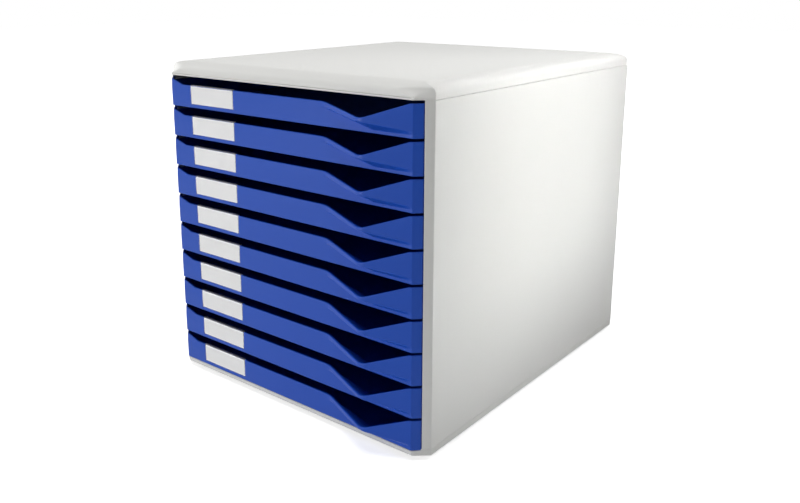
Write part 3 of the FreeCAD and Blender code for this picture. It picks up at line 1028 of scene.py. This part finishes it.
@dataclass
class DrawerSet:
    """The ten drawers, each with its card and its clip, in the places that the frame gives."""

    front: DrawerFront
    tray: Tray
    label: LabelHolder

    def build(self, plastic: bpy.types.Material, paper: bpy.types.Material, clear: bpy.types.Material) -> None:
        """Builds every drawer from one recipe.

        Args:
            plastic: the drawers' material.
            paper: the cards' material.
            clear: the clips' material.
        """
        drawer = [self.front.build()] + self.tray.shells()
        clip, card = self.label.clip(), self.label.paper()
        for number in range(1, DRAWER_COUNT + 1):
            tag = f"{number:02d}"
            body = f"drawer_body_{tag}"
            lift = (0.0, 0.0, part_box(f"drawer_{tag}")[0].z / METRE)
            make_piece(f"drawer_moulding_{tag}", [shell.moved(lift) for shell in drawer],
                       Dressing(body, Slot.DRAWER, (f"drawer_{tag}",), plastic))
            make_piece(f"card_{tag}", [card.moved(lift)], Dressing(body, Slot.CARD, (f"label_card_{tag}",), paper))
            make_piece(f"clip_{tag}", [clip.moved(lift)], Dressing(body, Slot.CLIP, (f"label_clip_{tag}",), clear))


# Studio


@dataclass(frozen=True)
class SoftBox:
    """A soft lamp: where it hangs, where it points, its size in metres, its power in watts and its spread."""

    name: str
    place: tuple[float, float, float]
    target: tuple[float, float, float]
    width: float
    height: float
    power: float
    spread: float = math.pi

    def build(self) -> None:
        """Hangs the lamp."""
        lamp = bpy.data.lights.new(self.name, "AREA")
        lamp.shape = "RECTANGLE"
        lamp.size, lamp.size_y = self.width, self.height
        lamp.energy = self.power
        lamp.spread = self.spread
        holder = bpy.data.objects.new(self.name, lamp)
        bpy.context.collection.objects.link(holder)
        holder.location = self.place
        holder.visible_camera = False
        holder.rotation_euler = (Vector(self.target) - Vector(self.place)).to_track_quat("-Z", "Y").to_euler()


@dataclass
class Studio:
    """A plain pale room: a floor that the camera sees white, soft lamps and the photograph's camera."""

    lamps: tuple[SoftBox, ...]
    world_strength: float = 0.03
    floor_size: float = 12.0
    focal_pixels: float = 833.8
    centre_column: float = 385.20
    shift_up: float = -0.08
    yaw: float = math.radians(38.92)
    pitch: float = math.radians(13.86)
    roll: float = math.radians(-0.09)
    eye: tuple[float, float, float] = (0.4792, -0.6189, 0.3589)

    def camera(self) -> None:
        """Sets up the camera: it looks along (-sin yaw cos pitch, cos yaw cos pitch, -sin pitch)."""
        data = bpy.data.cameras.new("photo_camera")
        data.sensor_width = 36.0
        data.lens = self.focal_pixels * data.sensor_width / IMAGE_WIDTH
        data.shift_x = (IMAGE_WIDTH / 2.0 - self.centre_column) / IMAGE_WIDTH
        data.shift_y = self.shift_up
        data.clip_start, data.clip_end = 0.01, 50.0
        forward = Vector((-math.sin(self.yaw) * math.cos(self.pitch), math.cos(self.yaw) * math.cos(self.pitch),
                          -math.sin(self.pitch)))
        level = Vector((math.cos(self.yaw), math.sin(self.yaw), 0.0))
        upright = level.cross(forward)
        right = level * math.cos(self.roll) + upright * math.sin(self.roll)
        up = right.cross(forward)
        turn = Matrix((right, up, -forward)).transposed()
        camera = bpy.data.objects.new("photo_camera", data)
        bpy.context.collection.objects.link(camera)
        camera.location = self.eye
        camera.rotation_euler = turn.to_euler()
        bpy.context.scene.camera = camera

    def seen_white(self, tree: bpy.types.NodeTree) -> bpy.types.NodeSocket:
        """Adds the nodes that are 1 for camera, glossy and transmission rays and 0 for all others."""
        path = add_node(tree, "LightPath")
        gloss = add_node(tree, "Math", {0: path.outputs["Is Camera Ray"], 1: path.outputs["Is Glossy Ray"]},
                         operation="MAXIMUM")
        return add_node(tree, "Math", {0: gloss.outputs[0], 1: path.outputs["Is Transmission Ray"]},
                        operation="MAXIMUM").outputs[0]

    def floor(self) -> None:
        """Lays the floor: matt and pale, lifted to white where the camera sees it outside the shadow."""
        half = self.floor_size / 2.0
        mesh = bpy.data.meshes.new("floor")
        mesh.from_pydata([(-half, -half, 0.0), (half, -half, 0.0), (half, half, 0.0), (-half, half, 0.0)], [],
                         [(0, 1, 2, 3)])
        floor = bpy.data.objects.new("floor", mesh)
        bpy.context.collection.objects.link(floor)
        material, tree = new_material("pale_floor")
        matt = add_node(tree, "BsdfDiffuse", {"Color": to_linear("#e6e6e6")})
        away = add_node(tree, "VectorMath", {0: add_node(tree, "TexCoord").outputs["Object"]}, operation="LENGTH")
        white = add_node(tree, "MapRange", {"Value": away.outputs["Value"], "From Min": 0.4, "From Max": 1.8,
                                            "To Min": 0.7, "To Max": 1.0})
        lift = add_node(tree, "Math", {0: self.seen_white(tree), 1: white.outputs["Result"]},
                        operation="MULTIPLY")
        glow = add_node(tree, "Emission", {"Strength": lift.outputs[0]})
        both = add_node(tree, "AddShader", {0: matt.outputs[0], 1: glow.outputs[0]})
        add_node(tree, "OutputMaterial", {"Surface": both.outputs[0]})
        mesh.materials.append(material)

    def world(self) -> None:
        """Lights the room evenly and shows white behind the object."""
        world = bpy.data.worlds.new("pale_room")
        world.use_nodes = True
        bpy.context.scene.world = world
        tree = world.node_tree
        tree.nodes.clear()
        strength = add_node(tree, "MapRange", {"Value": self.seen_white(tree), "To Min": self.world_strength,
                                               "To Max": 1.0})
        background = add_node(tree, "Background", {"Color": to_linear("#ffffff"),
                                                   "Strength": strength.outputs["Result"]})
        add_node(tree, "OutputWorld", {"Surface": background.outputs[0]})

    def build(self) -> None:
        """Sets up the whole room."""
        self.camera()
        self.floor()
        self.world()
        for lamp in self.lamps:
            lamp.build()
        view = bpy.context.scene.view_settings
        view.view_transform = "Standard"


def main() -> None:
    """Builds the room and every piece."""
    logging.basicConfig(level=logging.INFO, format="%(name)s: %(message)s")
    Studio(lamps=(
        SoftBox("top_light", (-0.1, -0.25, 3.2), (-0.1, -0.1, 0.2), 2.0, 2.0, 60.0),
        SoftBox("right_light", (0.45, 0.12, 0.47), (0.145, 0.03, 0.18), 0.3, 0.3, 0.64),
        SoftBox("right_beam", (0.793, 0.625, 0.358), (0.145, 0.004, 0.22), 0.24, 0.32, 0.205, math.radians(16.0)),
        SoftBox("front_light", (-0.60, -1.87, 0.26), (0.0, -0.1, 0.15), 0.8, 0.45, 14.6),
        SoftBox("left_light", (-1.9, 0.1, 0.7), (-0.1, 0.0, 0.15), 1.0, 1.0, 8.0),
        SoftBox("rear_light", (0.2, 2.0, 0.7), (0.0, 0.1, 0.15), 1.0, 1.0, 5.5),
    )).build()
    case_plastic = MouldedPlastic("light_grey_moulded_polystyrene", "#e2e2df", "#dfdfdc", 0.5, specular=0.3).material()
    drawer_plastic = MouldedPlastic("blue_moulded_polystyrene", "#194db6", "#174ab1", 0.42, specular=0.2).material()
    paper = Cardstock("white_card", "#f9f9f9", "#f4f4f5").material()
    # The clips' second colour, #85858f, is painted shade on their faces that face up or down.
    clear = ClearPlastic("clear_moulded_polystyrene", "#ffffff", "#85858f").material()
    rubber = MouldedRubber("dark_moulded_rubber", "#2a2a2b", "#343436").material()
    case = CaseSizes()
    TopCover(case).build(case_plastic)
    SideWalls(case).build(case_plastic)
    BaseTray(case).build(case_plastic)
    RubberFeet(case).build(rubber)
    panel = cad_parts["rear_panel"]
    panel.data.materials.clear()
    panel.data.materials.append(case_plastic)
    DrawerSet(DrawerFront(), Tray(), LabelHolder()).build(drawer_plastic, paper, clear)


if __name__ == "__main__":
    main()
